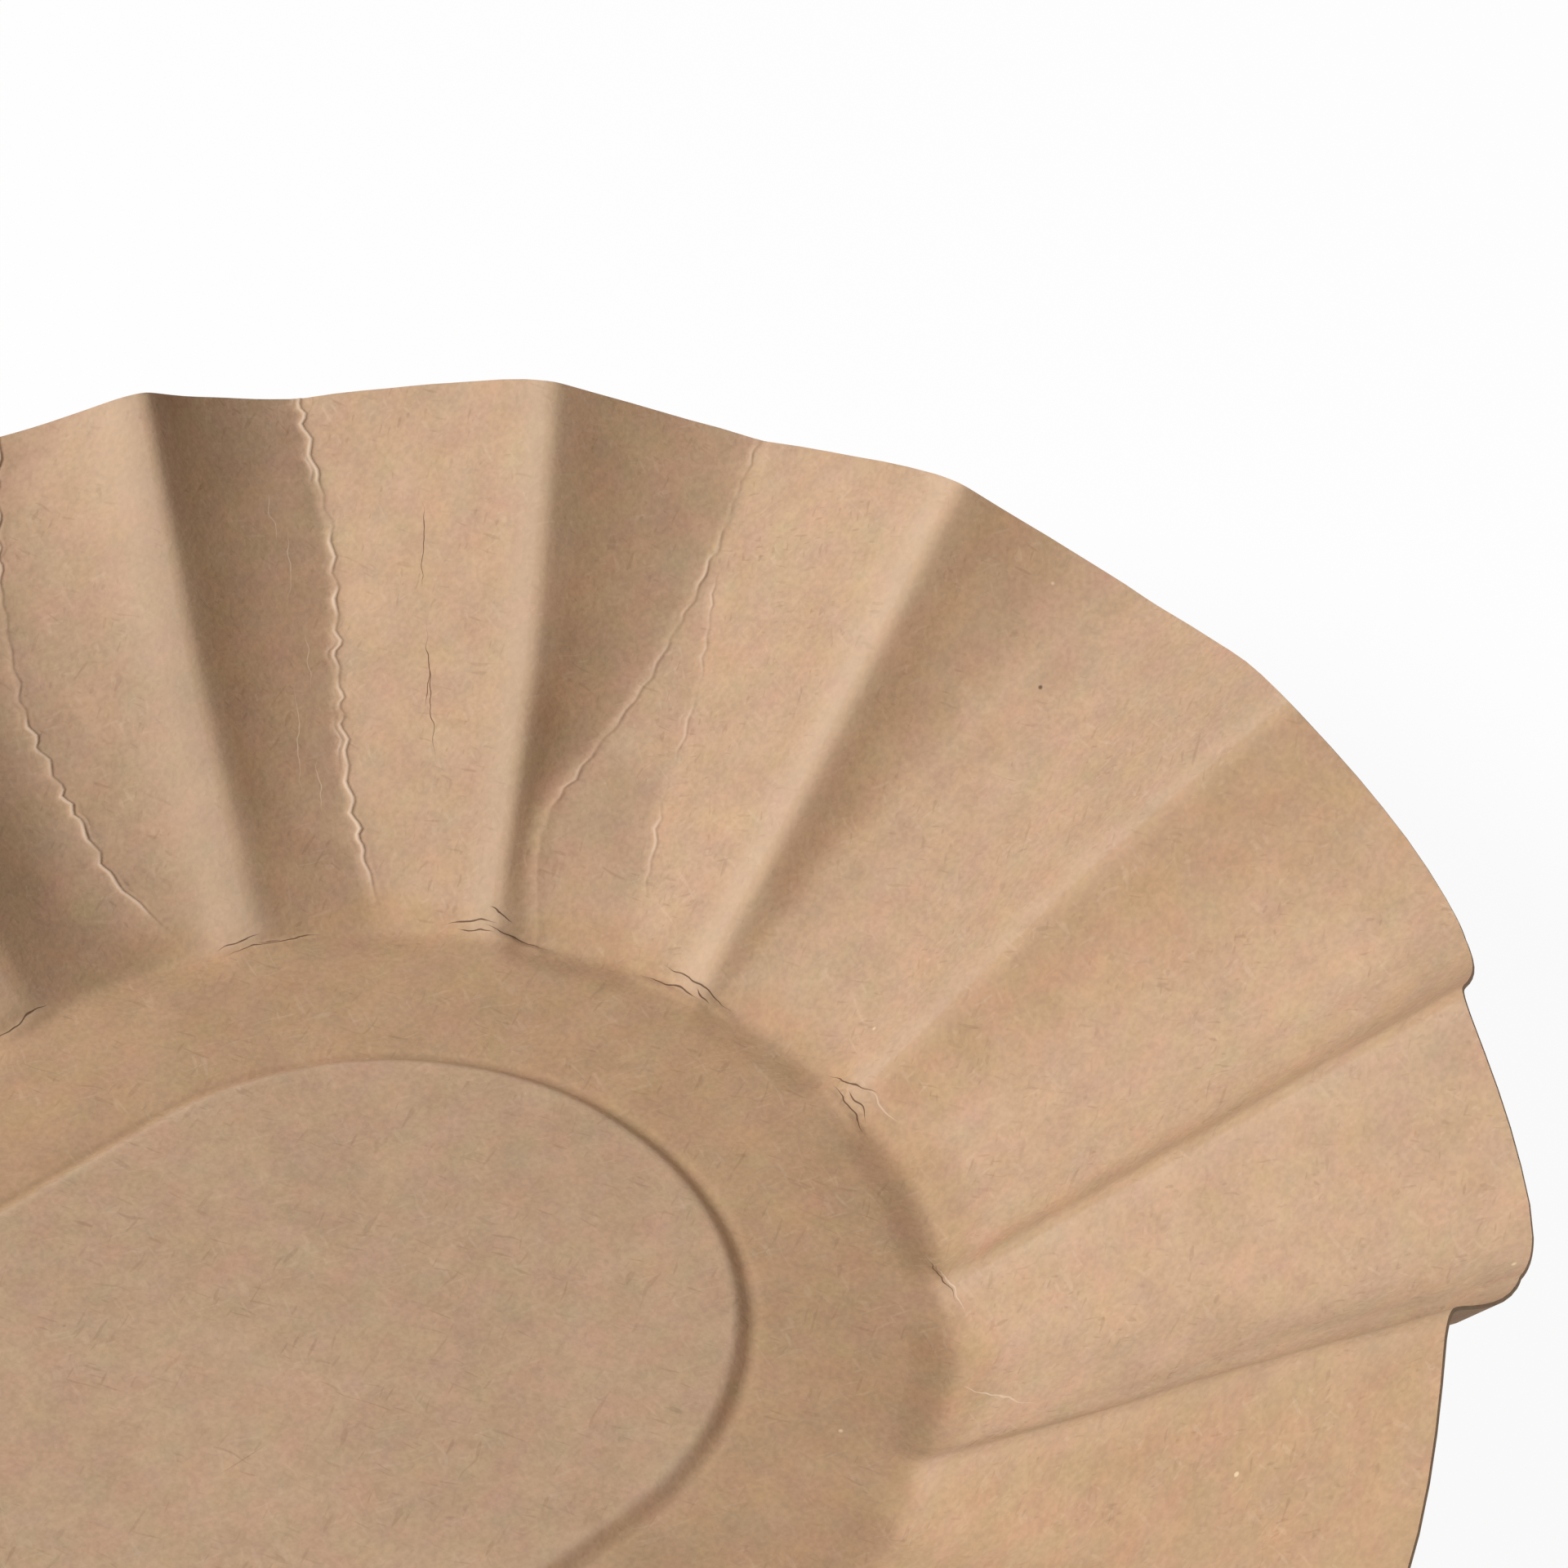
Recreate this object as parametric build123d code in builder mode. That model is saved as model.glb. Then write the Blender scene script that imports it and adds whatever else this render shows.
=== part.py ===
from build123d import *
from math import atan2, cos, degrees, radians, sin, tan
import os

os.makedirs("parts", exist_ok=True)

# Board that the tray is pressed from
board = 0.5

# Plan of the oval: two round ends joined by straight sides
straight_side = 62
fold_radius = 26.6
rim_radius = 50.5

# Middle of the rim's waves above the table
rim_height = 18.4

# Floor pressed up in two steps, each with a flat top and a sloped border
ring_radius = 24.5
ring_rise = 0.5
ring_border = 1.1
panel_radius = 16.5
panel_rise = 0.45
panel_border = 1.0

# Flutes pressed into the wall, each a ridge that opens from the fold to a wave of the rim
flutes_per_end = 7
flutes_per_side = 3
flute_depth = 4.6
ridge_bend = 1.8
groove_bend = 3.2
foot_share = 0.2

# Flat facets in half a bend and in the round fold at a groove
bend_facets = 6
fold_facets = 4

# Worked out from the sizes above
wall_slope = atan2(rim_height - board, rim_radius - fold_radius)
edge_out = board * sin(wall_slope)
edge_down = board * cos(wall_slope)
tip_radius = fold_radius - (rim_radius - fold_radius) * foot_share / (1 - foot_share)
tip_height = board - (rim_height - board) * foot_share / (1 - foot_share)
flutes_per_half = flutes_per_end + flutes_per_side
flutes_around = 2 * flutes_per_half


def place_on_oval(flute):
    """Centre and outward direction at a place counted in flutes: ridges are whole, grooves halves."""
    halves, flute = divmod(flute, flutes_per_half)
    if flute <= flutes_per_end:
        centre = Vector(straight_side / 2, 0, 0)
        angle = radians(180 * flute / flutes_per_end - 90)
    else:
        centre = Vector(straight_side * (0.5 - (flute - flutes_per_end) / flutes_per_side), 0, 0)
        angle = radians(90)
    outward = Vector(cos(angle), sin(angle), 0)
    if halves % 2 == 1:
        return centre * -1, outward * -1
    return centre, outward


def point_on_oval(flute, radius, height):
    """Point at a distance from the oval's middle line."""
    centre, outward = place_on_oval(flute)
    return centre + outward * radius + Vector(0, 0, height)


def bend_points(start, corner, end):
    """Points of a curve that is tangent to both legs of a corner."""
    shares = [step / bend_facets for step in range(bend_facets + 1)]
    return [start * (1 - t) ** 2 + corner * 2 * t * (1 - t) + end * t**2 for t in shares]


def half_ridge(ridge, groove, out, down, floor_level):
    """Straight lines up the wall from a ridge to a groove, each given by its fold and rim points."""
    rise = flute_depth / 2 * cos(wall_slope)
    lean = flute_depth / 2 * sin(wall_slope)
    turn = 90 if groove > ridge else -90
    top = point_on_oval(ridge, rim_radius + out - lean, rim_height - down + rise)
    bottom = point_on_oval(groove, rim_radius + out + lean, rim_height - down - rise)
    ridge_corner = top + place_on_oval(ridge)[1].rotate(Axis.Z, turn) * ridge_bend
    groove_corner = bottom - place_on_oval(groove)[1].rotate(Axis.Z, turn) * groove_bend
    flank = (groove_corner - ridge_corner).normalized()
    rim = bend_points(top, ridge_corner, ridge_corner + flank * ridge_bend)
    rim += bend_points(groove_corner - flank * groove_bend, groove_corner, bottom)

    # The lines all start from one tip below the floor
    tip = point_on_oval(ridge, tip_radius + out, tip_height - down)
    fold = [tip + (end - tip) * (floor_level - tip.Z) / (end.Z - tip.Z) for end in rim]
    return list(zip(fold, rim))


def groove_foot(groove, start, end):
    """Points between two ridges' feet: on an arc at the round ends, none on the straight sides."""
    if groove % flutes_per_half > flutes_per_end:
        return []
    centre = point_on_oval(groove, 0, start.Z)
    chord = [start + (end - start) * step / fold_facets for step in range(1, fold_facets)]
    return [centre + (point - centre).normalized() * (start - centre).length for point in chord]


def wall_side(out, down, floor_level):
    """One side of the sheet: the wall's flat facets, the floor, and the points of the rim."""
    lines = []
    for flute in range(flutes_around):
        rising = half_ridge(flute, flute + 0.5, out, down, floor_level)
        falling = half_ridge(flute + 1, flute + 0.5, out, down, floor_level)
        start, end = rising[-1][0], falling[-1][0]
        groove = [(foot, rising[-1][1]) for foot in groove_foot(flute + 0.5, start, end)]
        lines += rising + groove + falling[:0:-1]
    facets = []
    for place, (fold, rim) in enumerate(lines):
        last_fold, last_rim = lines[place - 1]
        corners = [last_fold, fold, rim, last_rim] if (rim - last_rim).length > 0 else [last_fold, fold, rim]
        facets.append(Face(Wire.make_polygon(corners)))
    floor = Face(Wire.make_polygon([fold for fold, rim in lines]))
    return facets + [floor], [rim for fold, rim in lines]


def pressed_sheet():
    """Flat floor and fluted wall of one thickness, closed into a solid."""
    inner_faces, inner_rim = wall_side(0, 0, board)
    outer_faces, outer_rim = wall_side(edge_out, edge_down, 0)
    cut_edge = []
    for place in range(len(inner_rim)):
        if (inner_rim[place] - inner_rim[place - 1]).length > 0:
            inner = Edge.make_line(inner_rim[place - 1], inner_rim[place])
            outer = Edge.make_line(outer_rim[place - 1], outer_rim[place])
            cut_edge.append(Face.make_surface_from_curves(inner, outer))
    return Solid(Shell(inner_faces + outer_faces + cut_edge))


# Each raised step of the floor: radius of its flat top, border, rise and the level it starts from
floor_steps = [
    (ring_radius, ring_border, ring_rise, 0),
    (panel_radius, panel_border, panel_rise, ring_rise),
]

with BuildPart() as tray:
    add(pressed_sheet(), clean=False)

    # The floor is pressed up: each sloped step stands above it and is hollow below it
    for top_radius, border, rise, level in floor_steps:
        lean = degrees(atan2(border, rise))
        inset = board * tan(atan2(rise, border) / 2)
        with BuildSketch(Plane.XY.offset(level + board)):
            SlotCenterToCenter(straight_side, 2 * (top_radius + border))
        extrude(amount=rise, taper=lean, clean=False)
        with BuildSketch(Plane.XY.offset(level)):
            SlotCenterToCenter(straight_side, 2 * (top_radius + border - inset))
        extrude(amount=rise, taper=lean, mode=Mode.SUBTRACT, clean=False)

tray.part.label = "tray"
export_step(tray.part, "parts/tray.step")
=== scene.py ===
import math

import bpy
import numpy as np
from mathutils import Matrix, Vector


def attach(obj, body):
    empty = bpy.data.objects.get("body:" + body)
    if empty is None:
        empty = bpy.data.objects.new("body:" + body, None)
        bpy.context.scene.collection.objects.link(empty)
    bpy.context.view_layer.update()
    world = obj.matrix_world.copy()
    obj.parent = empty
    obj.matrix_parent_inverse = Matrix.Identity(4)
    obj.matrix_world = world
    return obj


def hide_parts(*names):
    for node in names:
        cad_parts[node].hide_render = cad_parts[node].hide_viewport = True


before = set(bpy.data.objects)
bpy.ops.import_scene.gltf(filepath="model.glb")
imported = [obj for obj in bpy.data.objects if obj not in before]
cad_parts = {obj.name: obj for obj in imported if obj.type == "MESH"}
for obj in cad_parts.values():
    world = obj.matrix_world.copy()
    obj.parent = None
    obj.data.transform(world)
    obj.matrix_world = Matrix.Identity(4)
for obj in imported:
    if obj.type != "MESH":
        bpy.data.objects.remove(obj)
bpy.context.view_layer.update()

# the tray in millimetres, with the sizes that the part's source gives
tray = {
    "board": 0.5,
    "straightSide": 62.0,
    "foldRadius": 26.6,
    "rimRadius": 50.5,
    "rimHeight": 18.4,
    "ringRadius": 24.5,
    "ringRise": 0.5,
    "panelRadius": 16.5,
    "panelRise": 0.45,
    "panelBorder": 1.0,
    "flutesPerEnd": 7,
    "flutesPerSide": 3,
    "fluteDepth": 4.6,
    "footShare": 0.2,                  # of a flute's depth, at its foot
    "grooveBend": 3.2,
    "grooveBendShare": 0.26,           # of the flute's width, at most
    "grooveDip": 0.5,                  # floor lower at the foot of each groove
    "dipReach": 2.8,
    "cutEdge": 0.17,                   # board pressed thinner at the cut rim
    "crestWidth": 1.3,
    "crestRounding": (0.55, 1.1),      # on a ridge's rising side and on its falling side
    "mirroredRounding": (1.1, 0.8),
    "sharpBelow": 1.0,                 # a rounding that counts as a sharp side
    "steepest": 0.66,                  # of any flank
    "footSteepest": 0.42,
    "leastFlank": 1.0,
    "flankSag": 0.11,                  # hollow of the flank on a ridge's sharp side
    "foldSoftness": 0.3,
    "pressLine": 0.07,                 # line pressed along the foot of the panel's border
    "pressWidth": 0.28,
    "capRadius": 3.0,
    "undulation": 0.05,
    "waves": ((15, 1.0), (6, 0.5)),    # lengths of the undulation, and their shares
    "waveCount": 14,
    "waveFade": 12,                    # flatter inside this radius
    "steepZone": (0.05, 0.35),         # of the climb, where flanks grow steep
    "bendZone": (0.15, 0.35),
    "creaseHeight": 0.12,
    "creaseWander": 0.3,
    "wanderZone": (0.04, 0.2),
    "creaseBends": (0.9, 0.5),         # at the foot and above it
    "seed": 11,
}
# painted highlight on the border's top and painted shade at its foot: strength, place outward from the panel's edge
# or from its border's foot, and width
borderHighlight = (0.5, 0.15, 0.2)
borderShade = (0.24, 0.1, 0.3)
# rows and columns of its mesh, closer on the flutes that the photo shows
meshing = {
    "nearFlutes": (0, 1, 2, 3, 4, 5, 6, 19),
    "leastGap": 0.05,                  # between two folds that stand apart
    "footBand": 0.085,                 # share of the climb, up and down, with close rows
    "footRows": 29,
    "wallRows": 96,
    "outsideSteps": (3, 5, 12),        # rows kept outside on the floor, at the foot and on the wall
    "flankSteps": 6,
    "farFlankSteps": 3,
    "singleExtra": 3,                  # more of them beside a single fold
    "crestEdge": 0.55,
    "crestSteps": (0.0, 0.3, 0.5, 0.7, 0.95),
    "farCrestSteps": (0.0, 0.6),
    "pinch": (-0.62, -0.46, -0.36, -0.26, -0.18, -0.1, -0.03, 0.04, 0.11, 0.19, 0.28, 0.36, 0.44, 0.54, 0.7),
    "plain": (-0.7, -0.35, 0.0, 0.35, 0.7),
}
slope = math.atan2(tray["rimHeight"] - tray["board"], tray["rimRadius"] - tray["foldRadius"])
flutesPerHalf = tray["flutesPerEnd"] + tray["flutesPerSide"]
flutesAround = 2 * flutesPerHalf

# where a ridge leaves its even place, in flutes, at its foot, halfway up and at the rim
ridgeShift = {
    1: (0.11, 0.105, 0.08), 2: (0.07, 0.03, 0.0), 3: (0.075, 0.02, -0.067), 4: (0.0, -0.015, -0.01),
    5: (-0.047, -0.03, 0.02), 6: (-0.035, 0.0, -0.007), 8: (0.05, -0.02, 0.03), 9: (-0.04, 0.03, 0.0),
    11: (0.05, 0.02, -0.06), 12: (-0.04, 0.0, 0.04), 13: (0.03, -0.03, 0.02), 14: (-0.05, -0.02, 0.0),
    15: (0.06, 0.02, 0.05), 16: (0.0, -0.03, -0.03), 18: (0.03, 0.0, -0.03),
}
mirroredRidges = (0, 1, 2, 18, 19)     # sharp on their other side

# how much higher a ridge, or lower the groove after it, stands at the rim, in mm
ridgeRise = {1: 0.3, 6: -0.5, 9: 0.3, 12: -0.4, 15: 0.3}
grooveDrop = {0: 0.5, 1: 0.6, 8: 0.3, 11: 0.5, 14: 0.4}

# folds that run up a flute: share of the flute at heights from the foot, 0, to the rim, 1
openFold = {
    "first": [(0, 0.19), (0.5, 0.39), (1, 0.5)],
    "second": [(0, 0.81), (0.5, 0.61), (1, 0.5)],
    "crumple": 0,
}
wideFold = {
    "first": [(0, 0.19), (0.5, 0.42), (1, 0.5)],
    "second": [(0, 0.83), (0.5, 0.7), (1, 0.6)],
    "crumple": 0,
}
leaningFold = {
    "first": [(0, 0.2), (0.5, 0.27), (1, 0.31)],
    "second": [(0, 0.72), (0.5, 0.52), (1, 0.42)],
    "crumple": 0,
}
slantedFold = {
    "first": [(0, 0.35), (0.12, 0.39), (0.32, 0.48), (0.52, 0.485), (0.75, 0.54), (1, 0.52)],
    "second": [(0, 0.76), (0.14, 0.84), (0.22, 0.86), (0.3, 0.8), (0.5, 0.65), (0.71, 0.565), (1, 0.53)],
    "crumple": 0.6,
}
straightFold = {
    "first": [(0, 0.42), (0.07, 0.46), (0.22, 0.54), (0.45, 0.555), (0.68, 0.54), (0.86, 0.57), (1, 0.6)],
    "crumple": 1.0,
}
curvedFold = {
    "first": [(0, 0.24), (0.08, 0.3), (0.16, 0.43), (0.31, 0.47), (0.5, 0.495), (0.77, 0.41), (1, 0.3)],
    "crumple": 0.8,
    "bend": 3.6,
}
fluteFolds = {
    0: leaningFold, 1: leaningFold, 2: leaningFold, 3: wideFold, 4: slantedFold, 5: straightFold, 6: curvedFold,
    8: straightFold, 10: straightFold, 11: wideFold, 12: curvedFold, 13: slantedFold, 15: wideFold,
    16: straightFold, 18: curvedFold, 19: straightFold,
}

# thin lines along the crumpled folds, with sizes in mm
creasing = {
    "singleEnds": (0.05, 1.0),         # where a line starts and ends on the climb
    "firstEnds": (0.1, 0.68),
    "secondEnds": (0.2, 1.0),
    "secondStrength": 0.55,
    "patches": 30,
    "reach": 0.19,
    "steepReach": 0.085,
    "hollowPlace": 0.17,
    "hollowReach": 0.06,
    "hollowDepth": 0.12,
    "twins": ((0.34, 0.8), (-0.34, 0.6)),      # place beside the line, and strength
    "twinPatches": 18,
    "twinReach": 0.11,
    "twinWander": 0.14,
}
# first number of the chances drawn for each flute's folds and lines
seeds = {"firstFold": 100, "secondFold": 200, "firstLine": 300, "secondLine": 400, "twins": 50}

# the raised edge beside a crack, and the hollow on its other side, in mm
crackEdges = {"place": 0.3, "width": 0.25, "hollow": 0.8, "hollowPlace": 0.12, "hollowWidth": 0.2}
# cracks and small creases in the board, each on both ends of the tray: start and end as (flute, height),
# lift of the raised edge in mm, and dark for a painted shadow along the line or pale for a painted highlight
cracks = [
    ((6.15, -0.012), (5.70, 0.018), 0.10, "dark"),
    ((6.18, 0.008), (5.97, 0.014), 0.05, "dark"),
    ((6.0, 0.0), (5.88, 0.006), 0.03, "dark"),
    ((5.20, 0.024), (4.95, 0.034), 0.06, "dark"),
    ((5.02, 0.022), (4.73, 0.015), 0.12, "dark"),
    ((5.14, 0.012), (4.96, 0.008), 0.03, "dark"),
    ((5.0, 0.05), (4.9, 0.047), 0.03, "dark"),
    ((4.33, 0.012), (3.99, -0.004), 0.08, "dark"),
    ((4.24, 0.034), (3.84, 0.018), 0.09, "dark"),
    ((4.05, 0.012), (3.95, -0.006), 0.04, "dark"),
    ((3.34, 0.022), (3.04, 0.05), 0.06, "dark"),
    ((3.10, 0.04), (2.90, 0.06), 0.05, "pale"),
    ((3.27, 0.012), (2.94, -0.008), 0.08, "dark"),
    ((3.18, 0.022), (3.0, 0.012), 0.04, "dark"),
    ((2.27, -0.014), (1.92, 0.024), 0.02, "dark"),
    ((2.2, 0.0), (1.85, 0.04), 0.06, "pale"),
    ((1.55, 0.03), (1.33, 0.2), 0.06, "pale"),
    ((0.2, 0.0), (-0.16, 0.02), 0.06, "dark"),
    ((7.15, 0.01), (6.9, 0.02), 0.05, "dark"),
    ((8.12, 0.01), (7.9, 0.02), 0.06, "dark"),
    ((9.14, 0.0), (8.86, 0.014), 0.06, "dark"),
    ((5.685, 0.795), (5.70, 0.64), 0.02, "pale"),
    ((5.71, 0.5), (5.73, 0.26), 0.0, "pale"),
    ((5.73, 0.86), (5.72, 0.75), 0.02, "pale"),
    ((5.66, 0.6), (5.665, 0.47), 0.02, "pale"),
    ((5.66, 0.36), (5.67, 0.24), 0.02, "pale"),
    ((5.335, 0.8), (5.33, 0.62), 0.0, "dark"),
    ((5.3, 0.5), (5.31, 0.41), 0.0, "dark"),
    ((5.32, 0.58), (5.265, 0.3), 0.0, "dark"),
]


def placeOnOval(station):
    # centre and outward direction at a place counted in flutes, ridges at whole numbers
    half = np.floor(station / flutesPerHalf)
    along = station - half * flutesPerHalf
    onEnd = along <= tray["flutesPerEnd"]
    angle = np.where(onEnd, np.pi * along / tray["flutesPerEnd"] - np.pi / 2, np.pi / 2)
    side = tray["straightSide"] * (0.5 - (along - tray["flutesPerEnd"]) / tray["flutesPerSide"])
    centre = np.where(onEnd, tray["straightSide"] / 2, side)
    turn = np.where(half % 2 == 1, -1.0, 1.0)
    return centre * turn, np.cos(angle) * turn, np.sin(angle) * turn


def smoothStep(value, start, end):
    share = np.clip((value - start) / (end - start), 0, 1)
    return share * share * (3 - 2 * share)


def smoothMax(first, second, softness):
    return (first + second + np.sqrt((first - second) ** 2 + softness ** 2)) / 2


def followPath(path, climb):
    # a line through the path's points, rounded a little
    heights, shares = zip(*path)
    steps = (-0.05, -0.025, 0, 0.025, 0.05)
    return sum(np.interp(climb + step, heights, shares) for step in steps) / len(steps)


def wander(climb, seed):
    # sharp zigzag of a crumpled fold, -1 to 1
    chance = np.random.RandomState(seed)
    count = 80
    corners = np.cumsum(chance.uniform(0.014, 0.036, count)) - 0.1
    places = chance.uniform(0.1, 1, count) * np.where(np.arange(count) % 2 == 0, 1, -1)
    return np.interp(climb, corners, places)


def corner(across, place, change, width):
    # rounds a corner of the flute's section
    leastWidth = 0.02
    width = np.maximum(width, leastWidth)
    near = np.maximum(width - np.abs(across - place), 0)
    return change * near ** 2 / (4 * width)


def fluteWidth(flute, climb):
    if flute % flutesPerHalf >= tray["flutesPerEnd"]:
        return np.full_like(climb, tray["straightSide"] / tray["flutesPerSide"])
    radius = tray["foldRadius"] + (tray["rimRadius"] - tray["foldRadius"]) * climb
    return radius * np.pi / tray["flutesPerEnd"]


def shiftOf(ridge, climb):
    # the sharp edge of a ridge, not its middle, runs along the even line
    even = tray["crestWidth"] / 2 / fluteWidth(ridge, climb)
    even = -even if ridge % flutesAround in mirroredRidges else even
    return even + np.interp(climb, (0, 0.5, 1), ridgeShift.get(ridge % flutesAround, (0, 0, 0)))


def ridgeRounding(ridge):
    # half widths of the rounding on a ridge's rising and falling side
    return tray["mirroredRounding"] if ridge % flutesAround in mirroredRidges else tray["crestRounding"]


def sharpSides(flute):
    # whether the flute starts below a ridge's sharp side, and whether it ends below one
    return ridgeRounding(flute)[1] < tray["sharpBelow"], ridgeRounding(flute + 1)[0] < tray["sharpBelow"]


def fluteShape(flute, climb):
    # the section's corners in mm from the flute's first ridge, at each height
    flute = flute % flutesAround
    each = fluteWidth(flute, climb)
    width = each * (1 + shiftOf(flute + 1, climb) - shiftOf(flute, climb))
    share = tray["footShare"] + (1 - tray["footShare"]) * np.maximum(climb, -0.1)
    depth = tray["fluteDepth"] * share
    fold = fluteFolds.get(flute, openFold)
    crumple = fold["crumple"]
    crest = tray["crestWidth"] / 2
    first = followPath(fold["first"], climb) * width
    second = followPath(fold["second"], climb) * width if "second" in fold else first
    first = np.maximum(first, crest + tray["leastFlank"])
    second = np.minimum(second, width - crest - tray["leastFlank"])
    reach = tray["creaseWander"] * crumple * smoothStep(climb, *tray["wanderZone"])
    firstLine = first + reach * wander(climb, seeds["firstFold"] + flute)
    secondLine = second + reach * wander(climb, seeds["secondFold"] + flute)
    steep = np.interp(climb, tray["steepZone"], (tray["footSteepest"], tray["steepest"]))
    firstLow = np.maximum(-depth / 2, depth / 2 - steep * (first - crest))
    secondLow = np.maximum(-depth / 2, depth / 2 - steep * (width - crest - second))
    if "second" not in fold:
        firstLow = secondLow = np.maximum(firstLow, secondLow)
    gap = second - first
    tilt = np.where(gap > meshing["leastGap"], (secondLow - firstLow) / np.maximum(gap, meshing["leastGap"]), 0)
    fall = (firstLow - depth / 2) / (first - crest)
    rise = (depth / 2 - secondLow) / (width - crest - second)
    if crumple:
        bend = np.interp(climb, tray["bendZone"], [fold.get("bend", usual) for usual in tray["creaseBends"]])
    else:
        bend = np.minimum(tray["grooveBend"] * share, tray["grooveBendShare"] * width)
    bend = np.minimum(bend, 0.9 * np.minimum(first - crest, width - crest - second))
    return {
        "number": flute, "each": each, "width": width, "depth": depth, "crest": crest,
        "first": first, "firstLow": firstLow, "firstLine": firstLine,
        "second": second, "secondLow": secondLow, "secondLine": secondLine,
        "tilt": tilt, "fall": fall, "rise": rise, "bend": bend,
        "crumple": crumple, "double": "second" in fold and crumple,
    }


def fluteColumns(shape, near):
    # columns of the mesh across a flute: close together at the ridges and along the folds
    width, first, second = shape["width"], shape["firstLine"], shape["secondLine"]
    crestEnd = shape["crest"] + meshing["crestEdge"]
    crestSteps = meshing["crestSteps"] if near else meshing["farCrestSteps"]
    flankSteps = meshing["flankSteps"] if near else meshing["farFlankSteps"]
    offsets = meshing["pinch"] if shape["crumple"] else meshing["plain"]
    offsets = offsets if near else offsets[::2]
    columns = [crestEnd * step for step in crestSteps]

    def reach(place, low, high):
        return np.minimum(1.0, 1.25 * np.minimum(place - low, high - place))

    if not shape["crumple"] or shape["double"]:
        tight = np.maximum(0.3 - (second - first) / 2, 0)
        first, second = first - tight, second + tight
        middle = (first + second) / 2
        firstReach = np.maximum(reach(first, crestEnd, middle), 0.05)
        secondReach = np.maximum(reach(second, middle, width - crestEnd), 0.05)
        start = first + offsets[0] * firstReach
        columns += [crestEnd + (start - crestEnd) * step / flankSteps for step in range(flankSteps)]
        columns += [first + offset * firstReach for offset in offsets]
        left, right = first + offsets[-1] * firstReach, second + offsets[0] * secondReach
        columns += [left + (right - left) * step / flankSteps for step in range(1, flankSteps)]
        columns += [second + offset * secondReach for offset in offsets]
        start = second + offsets[-1] * secondReach
    else:
        flankSteps = flankSteps + meshing["singleExtra"]
        start = first + offsets[0]
        columns += [crestEnd + (start - crestEnd) * step / flankSteps for step in range(flankSteps)]
        columns += [first + offset for offset in offsets]
        start = first + offsets[-1]
    end = width - crestEnd
    columns += [start + (end - start) * step / flankSteps for step in range(1, flankSteps)]
    columns += [width - crestEnd * step for step in crestSteps[:0:-1]]
    columns += [width - crestEnd * crestSteps[1] / 2] if near else []
    return np.stack([place + 0 * width for place in columns], axis=1)


def fluteLift(across, shape, before, after):
    # height over the plain wall: flat crests, soft to one side and sharp to the other, flanks and folded grooves
    def column(values):
        return values[:, None]
    top, crest, width = column(shape["depth"]) / 2, shape["crest"], column(shape["width"])
    first, second = column(shape["first"]), column(shape["second"])
    fall, rise, tilt, bend = (column(shape[name]) for name in ("fall", "rise", "tilt", "bend"))
    startsSharp, endsSharp = sharpSides(shape["number"])
    sag = tray["flankSag"] * column(shape["depth"]) * 4
    part = np.clip((first - across) / (first - crest), 0, 1)
    falling = top + fall * (across - crest) - sag * part * (1 - part) * startsSharp
    part = np.clip((across - second) / (width - crest - second), 0, 1)
    rising = column(shape["secondLow"]) + rise * (across - second) - sag * part * (1 - part) * endsSharp
    bottom = column(shape["firstLow"]) + tilt * (across - first)
    lift = np.where(across > second, np.minimum(rising, top), bottom)
    lift = np.where(across < first, np.minimum(falling, top), lift)
    double = column(np.where(shape["second"] - shape["first"] > meshing["leastGap"], 1.0, 0.0))
    here, there = ridgeRounding(shape["number"]), ridgeRounding(shape["number"] + 1)
    lift = lift + corner(across, crest, fall, here[1]) + corner(across, width - crest, -rise, there[0])
    overStart = corner(across, -crest, -column(before["rise"]), here[0])
    overEnd = corner(across, width + crest, column(after["fall"]), there[1])
    lift = lift + overStart + overEnd
    lift = lift + double * (corner(across, first, tilt - fall, bend) + corner(across, second, rise - tilt, bend))
    lift = lift + (1 - double) * corner(across, first, rise - fall, bend)
    return lift


def crumple(offset, reach):
    # a small fold that falls steeply on one side, to a slight hollow, and gently on the other
    fold = np.exp(-(offset / np.where(offset > 0, reach, creasing["steepReach"])) ** 2)
    hollow = np.exp(-((offset + creasing["hollowPlace"]) / creasing["hollowReach"]) ** 2)
    return fold - creasing["hollowDepth"] * hollow


def creaseRidge(across, place, climb, strength, ends, seed):
    # the thin raised line along a crumpled fold and, here and there, a twin on each side
    chance = np.random.RandomState(seed)
    patches, twinPatches = creasing["patches"], creasing["twinPatches"]
    patch = np.interp(climb, np.linspace(0, 1, patches), chance.uniform(0.2, 1, patches))
    patch = patch * smoothStep(climb, ends[0], ends[0] + 0.08) * (1 - smoothStep(climb, ends[1], ends[1] + 0.1))
    offset = across - place[:, None]
    height = crumple(offset, creasing["reach"])
    for side, share in creasing["twins"]:
        twin = np.interp(climb, np.linspace(0, 1, twinPatches), chance.uniform(-1.3, 1.2, twinPatches)).clip(0, 1)
        twinPlace = side + creasing["twinWander"] * wander(climb, seed + seeds["twins"])
        height = height + share * twin[:, None] * crumple(offset - twinPlace[:, None], creasing["twinReach"])
    return strength * patch[:, None] * height


def softWaves(x, y, size, count, seed):
    # gentle waves that run every way, for board that isn't quite flat
    chance = np.random.RandomState(seed)
    total = np.zeros_like(x)
    for _ in range(count):
        direction = chance.uniform(0, 2 * np.pi)
        length = size * chance.uniform(0.6, 1.6)
        phase = chance.uniform(0, 2 * np.pi)
        total += np.sin((x * np.cos(direction) + y * np.sin(direction)) * 2 * np.pi / length + phase)
    return total / math.sqrt(count)


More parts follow.
